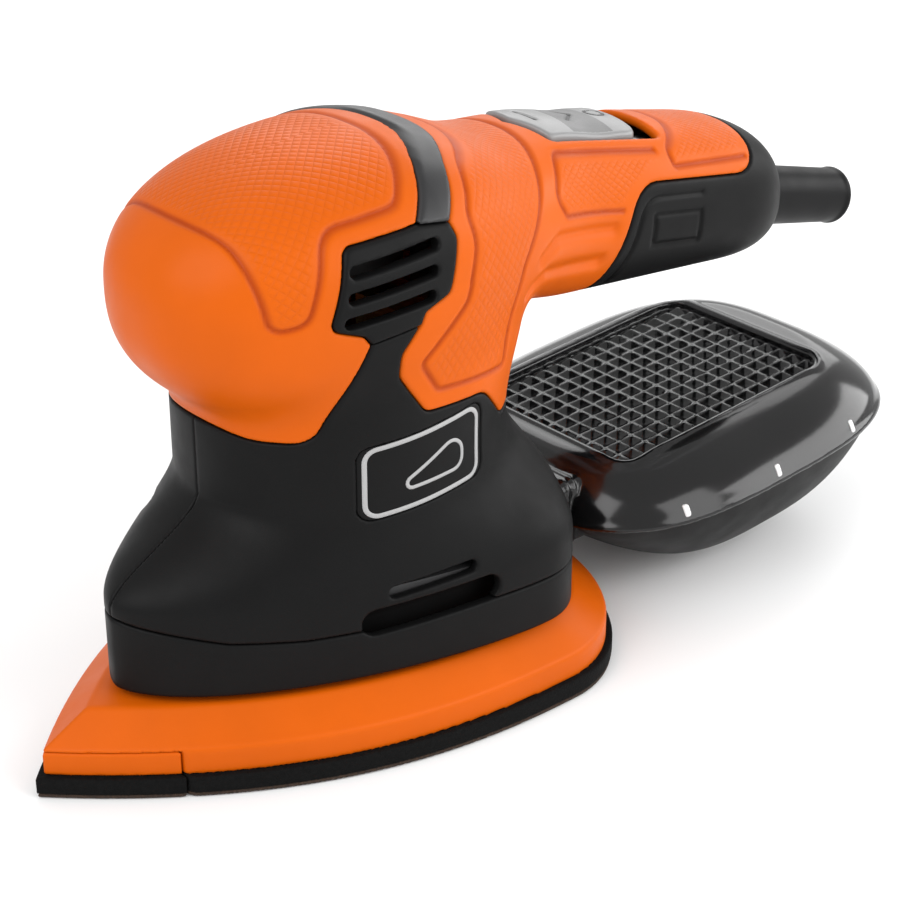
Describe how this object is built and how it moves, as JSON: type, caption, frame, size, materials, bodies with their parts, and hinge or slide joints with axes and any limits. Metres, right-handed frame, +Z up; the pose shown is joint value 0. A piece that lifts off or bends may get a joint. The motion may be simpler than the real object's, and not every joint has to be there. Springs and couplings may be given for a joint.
{
  "type": "detail sander",
  "caption": "Corded detail sander: pointed orbiting base, dark motor housing, orange palm grip and handle with slide switch, smoked dust box behind.",
  "frame": {"origin": "where the motor axis meets the sanding face", "axes": "+Z up from the sanding face, -Y toward the pointed nose, +Y toward the handle, +X the tool's left side"},
  "size_m": [0.0914, 0.2379, 0.124],
  "materials": {
    "orange_plastic": "moulded, satin with fine texture",
    "black_plastic": "moulded, fine satin",
    "grey_trim": "moulded, satin",
    "switch_grey": "moulded, satin",
    "smoked_clear": "smoked clear, polished",
    "foam_pad": "dense foam",
    "abrasive": "coated paper",
    "rubber_black": "moulded rubber",
    "steel": "plain",
    "core_iron": "laminated",
    "copper": "wound wire",
    "brass": "pressed",
    "carbon": "carbon",
    "filter_paper": "pleated",
    "inner_plastic": "glass filled"
  },
  "bodies": {
    "root": {"badge_left": "black_plastic", "badge_right": "black_plastic", "bearing_plate": "inner_plastic", "brush_holder_left": "brass", "brush_holder_right": "brass", "brush_spring_left": "steel", "brush_spring_right": "steel", "carbon_brush_left": "carbon", "carbon_brush_right": "carbon", "cord_boot": "rubber_black", "cord_clamp": "inner_plastic", "cord_clamp_screws": "steel", "duct_seal": "rubber_black", "dust_duct": "inner_plastic", "field_core": "core_iron", "field_windings": "copper", "handle_left": "orange_plastic", "handle_right": "orange_plastic", "head_band": "grey_trim", "housing_left": "black_plastic", "housing_right": "black_plastic", "housing_screws": "steel", "lead_left": "inner_plastic", "lead_right": "inner_plastic", "leg_front_left": "rubber_black", "leg_front_right": "rubber_black", "leg_rear_left": "rubber_black", "leg_rear_right": "rubber_black", "lower_bearing": "steel", "palm_grip_left": "orange_plastic", "palm_grip_right": "orange_plastic", "rear_cover": "black_plastic", "skirt_ring": "black_plastic", "switch_body": "inner_plastic", "upper_bearing": "steel", "upper_bracket": "inner_plastic", "vent_grille_left": "grey_trim", "vent_grille_right": "grey_trim"},
    "rotor": {"motor_shaft": "steel", "armature": "core_iron", "commutator": "copper", "fan": "inner_plastic", "counterweight": "steel", "eccentric_pin": "steel", "platen_screw": "steel"},
    "platen": {"platen": "orange_plastic", "platen_bearing": "steel", "main_pad": "foam_pad", "sanding_sheet": "abrasive"},
    "tip": {"tip_holder": "orange_plastic", "tip_pad": "foam_pad", "tip_sheet": "abrasive"},
    "switch": {"switch_button": "switch_grey", "switch_link": "switch_grey"},
    "dust_box": {"dust_tray": "black_plastic", "dust_latch": "inner_plastic"},
    "dust_lid": {"dust_lid": "smoked_clear", "filter_frame": "inner_plastic", "filter_element": "filter_paper"}
  },
  "joints": [
    {"name": "rotor_spin", "type": "hinge", "parent": "root", "child": "rotor", "pos_m": [0, 0, 0.05], "axis": [0, 0, 1], "continuous": true},
    {"name": "platen_orbit", "type": "hinge", "parent": "rotor", "child": "platen", "pos_m": [0, 0.0008, 0.012], "axis": [0, 0, 1], "continuous": true, "deforming": ["leg_front_left", "leg_front_right", "leg_rear_left", "leg_rear_right"]},
    {"name": "tip_slide", "type": "slide", "parent": "platen", "child": "tip", "axis": [0, -1, 0], "range_m": [0, 0.018]},
    {"name": "switch_slide", "type": "slide", "parent": "root", "child": "switch", "axis": [0, 0.9781, -0.2079], "range_m": [0, 0.005]},
    {"name": "dust_box_slide", "type": "slide", "parent": "root", "child": "dust_box", "axis": [0, 1, 0], "range_m": [0, 0.06]},
    {"name": "dust_lid_lift", "type": "slide", "parent": "dust_box", "child": "dust_lid", "axis": [0, 0, 1], "range_m": [0, 0.015]}
  ],
  "couplings": [
    {"joint": "platen_orbit", "follows": "rotor_spin", "ratio": -1}
  ]
}
